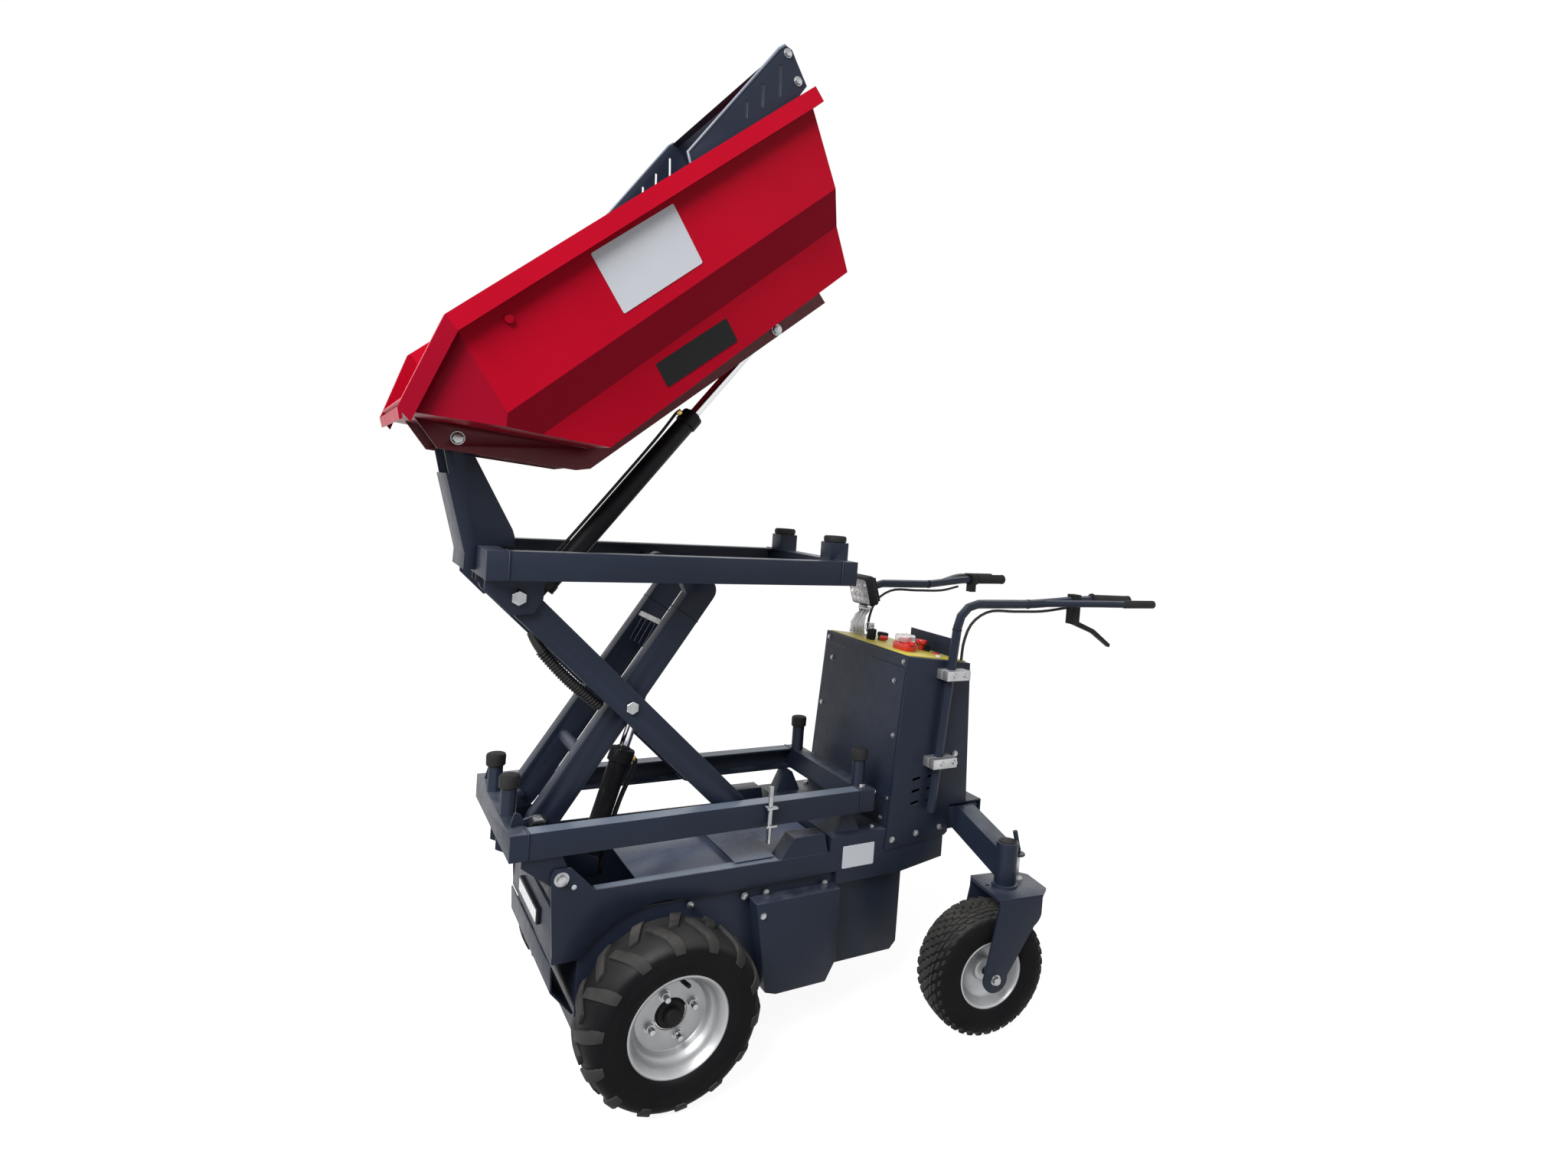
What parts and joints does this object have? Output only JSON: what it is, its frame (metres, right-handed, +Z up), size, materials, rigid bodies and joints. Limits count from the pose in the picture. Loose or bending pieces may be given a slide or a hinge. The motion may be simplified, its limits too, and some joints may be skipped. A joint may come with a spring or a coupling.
{
  "type": "site dumper",
  "caption": "Walk-behind electric site dumper: scissor lift, high-tipping open skip, two driven front wheels, two swivelling casters and a handlebar console.",
  "frame": {"origin": "centre of the bounding box, on the ground under the wheels", "axes": "+Z up, -Y to the front where the skip tips, +X to the machine left"},
  "size_m": [0.9672, 1.9602, 2.3155],
  "materials": {
    "machine_paint": "satin slate-grey powder coat",
    "skip_paint": "gloss red",
    "cylinder_black": "satin black",
    "tyre_rubber": "matte",
    "grip_rubber": "textured",
    "cable_rubber": "smooth black sheath",
    "rim_steel": "silver paint, satin",
    "zinc_steel": "bright zinc",
    "rod_chrome": "polished",
    "plate_yellow": "satin",
    "moulded_black": "moulded",
    "button_red": "gloss",
    "lamp_glass": "clear",
    "lamp_black": "black anodised"
  },
  "bodies": {
    "chassis": {"battery_box": "moulded_black", "brake_cable": "cable_rubber", "brake_lever": "moulded_black", "caster_arm_left": "machine_paint", "caster_arm_right": "machine_paint", "chassis": "machine_paint", "chassis_pan": "machine_paint", "console_body": "machine_paint", "console_screen": "machine_paint", "console_top": "plate_yellow", "deck_plate": "machine_paint", "drive_unit": "cylinder_black", "front_panel": "machine_paint", "grip_left": "grip_rubber", "grip_right": "grip_rubber", "guard_grip_left": "grip_rubber", "guard_grip_right": "grip_rubber", "handlebar_left": "machine_paint", "handlebar_right": "machine_paint", "isolator": "button_red", "key_switch": "moulded_black", "light_bar": "lamp_glass", "rear_box": "machine_paint", "rear_channel": "machine_paint", "side_cover_left": "machine_paint", "side_cover_right": "machine_paint", "stop_button": "button_red", "stub_axle_left": "zinc_steel", "stub_axle_right": "zinc_steel", "throttle": "moulded_black", "throttle_cable": "cable_rubber", "work_light": "lamp_black"},
    "front_wheel_left": {"front_tyre_left": "tyre_rubber", "front_rim_left": "rim_steel"},
    "front_wheel_right": {"front_tyre_right": "tyre_rubber", "front_rim_right": "rim_steel"},
    "caster_left": {"caster_fork_left": "machine_paint"},
    "caster_right": {"caster_fork_right": "machine_paint"},
    "caster_wheel_left": {"caster_tyre_left": "tyre_rubber", "caster_rim_left": "rim_steel"},
    "caster_wheel_right": {"caster_tyre_right": "tyre_rubber", "caster_rim_right": "rim_steel"},
    "base_frame": {"base_frame": "machine_paint", "lock_pin": "zinc_steel"},
    "inner_arms": {"inner_arms": "machine_paint"},
    "outer_arms": {"outer_arms": "machine_paint", "arm_hose": "cable_rubber"},
    "top_frame": {"top_frame": "machine_paint", "tipping_post": "machine_paint"},
    "skip": {"tub": "skip_paint", "tub_frame": "skip_paint", "spill_guard": "machine_paint"},
    "lift_barrel": {"lift_barrel": "cylinder_black"},
    "lift_rod": {"lift_rod": "rod_chrome"},
    "tip_barrel": {"tip_barrel": "cylinder_black"},
    "tip_rod": {"tip_rod": "rod_chrome"}
  },
  "joints": [
    {"name": "frame_tilt", "type": "hinge", "parent": "chassis", "child": "base_frame", "pos_m": [0, -0.6246, 0.5057], "axis": [1, 0, 0], "range_deg": [0, 45]},
    {"name": "lift", "type": "hinge", "parent": "base_frame", "child": "inner_arms", "pos_m": [0, -0.662, 0.606], "axis": [1, 0, 0], "range_deg": [-49, 0]},
    {"name": "outer_fold", "type": "hinge", "parent": "inner_arms", "child": "outer_arms", "pos_m": [0, -0.481, 0.857], "axis": [1, 0, 0], "range_deg": [0, 87]},
    {"name": "top_fold", "type": "hinge", "parent": "outer_arms", "child": "top_frame", "pos_m": [0, -0.737, 1.107], "axis": [1, 0, 0], "range_deg": [-38, 0]},
    {"name": "tip", "type": "hinge", "parent": "top_frame", "child": "skip", "pos_m": [0, -0.8586, 1.4274], "axis": [1, 0, 0], "range_deg": [-40.1, 5.5]},
    {"name": "lift_barrel_swing", "type": "hinge", "parent": "base_frame", "child": "lift_barrel", "pos_m": [0, -0.519, 0.44], "axis": [1, 0, 0], "range_deg": [-45, 0]},
    {"name": "lift_rod_slide", "type": "slide", "parent": "lift_barrel", "child": "lift_rod", "axis": [0, 0.2682, 0.9634], "range_m": [-0.182, 0]},
    {"name": "tip_barrel_swing", "type": "hinge", "parent": "top_frame", "child": "tip_barrel", "pos_m": [0, -0.672, 1.08], "axis": [1, 0, 0], "range_deg": [-40, 8]},
    {"name": "tip_rod_slide", "type": "slide", "parent": "tip_barrel", "child": "tip_rod", "axis": [0, 0.6057, 0.7957], "range_m": [-0.275, 0.045]},
    {"name": "front_wheel_left_spin", "type": "hinge", "parent": "chassis", "child": "front_wheel_left", "pos_m": [0.304, -0.398, 0.203], "axis": [1, 0, 0], "continuous": true},
    {"name": "caster_left_swivel", "type": "hinge", "parent": "chassis", "child": "caster_left", "pos_m": [0.395, 0.473, 0.374], "axis": [0, 0, 1], "continuous": true},
    {"name": "caster_wheel_left_spin", "type": "hinge", "parent": "caster_left", "child": "caster_wheel_left", "pos_m": [0.38678, 0.41862, 0.166], "axis": [0.9888, -0.1494, 0], "continuous": true},
    {"name": "front_wheel_right_spin", "type": "hinge", "parent": "chassis", "child": "front_wheel_right", "pos_m": [-0.304, -0.398, 0.203], "axis": [1, 0, 0], "continuous": true},
    {"name": "caster_right_swivel", "type": "hinge", "parent": "chassis", "child": "caster_right", "pos_m": [-0.395, 0.473, 0.374], "axis": [0, 0, 1], "continuous": true},
    {"name": "caster_wheel_right_spin", "type": "hinge", "parent": "caster_right", "child": "caster_wheel_right", "pos_m": [-0.38678, 0.41862, 0.166], "axis": [0.9888, 0.1494, 0], "continuous": true}
  ],
  "couplings": [
    {"joint": "outer_fold", "follows": "lift", "ratio": -1.7565},
    {"joint": "top_fold", "follows": "lift", "ratio": 0.7565},
    {"joint": "lift_barrel_swing", "follows": "lift", "ratio": 0.895},
    {"joint": "lift_rod_slide", "follows": "lift", "m_per_rad": 0.2083},
    {"joint": "tip_barrel_swing", "follows": "tip", "ratio": 0.954},
    {"joint": "tip_rod_slide", "follows": "tip", "m_per_rad": 0.3846}
  ]
}
